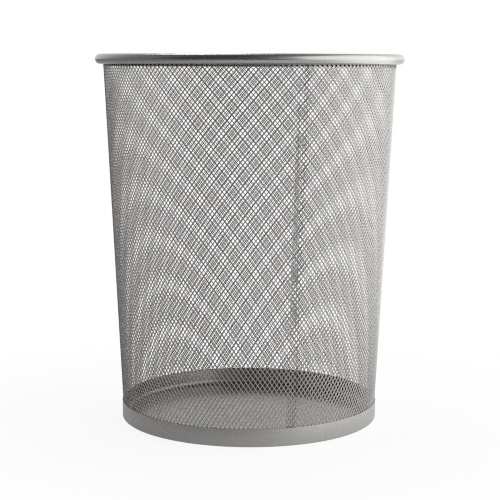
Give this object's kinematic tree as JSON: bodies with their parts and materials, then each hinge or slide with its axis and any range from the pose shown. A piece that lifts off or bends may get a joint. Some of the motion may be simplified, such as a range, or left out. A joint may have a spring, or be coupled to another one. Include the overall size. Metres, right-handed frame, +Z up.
{
  "type": "wire mesh wastebasket",
  "caption": "Round tapered wastebasket with an expanded-metal mesh wall, a rolled tubular rim, a smooth base band and a solid pressed floor pan; open at the top to take waste.",
  "frame": {"origin": "middle of the base, on the floor that the basket stands on", "axes": "+Z up along the basket's axis towards the mouth; -Y is the front in the picture and +X its right"},
  "size_m": [0.294, 0.294, 0.351],
  "materials": {
    "rim_coat": "semi-gloss silver-grey metallic coating on a rolled steel strip",
    "mesh_coat": "satin silver-grey metallic coating on expanded steel mesh",
    "band_coat": "satin silver-grey metallic coating on a steel strip",
    "pan_coat": "semi-gloss silver-grey metallic coating on pressed steel sheet"
  },
  "bodies": {
    "root": {"rim_hoop": "rim_coat", "mesh_wall": "mesh_coat", "base_band": "band_coat", "base_pan": "pan_coat"}
  },
  "joints": []
}
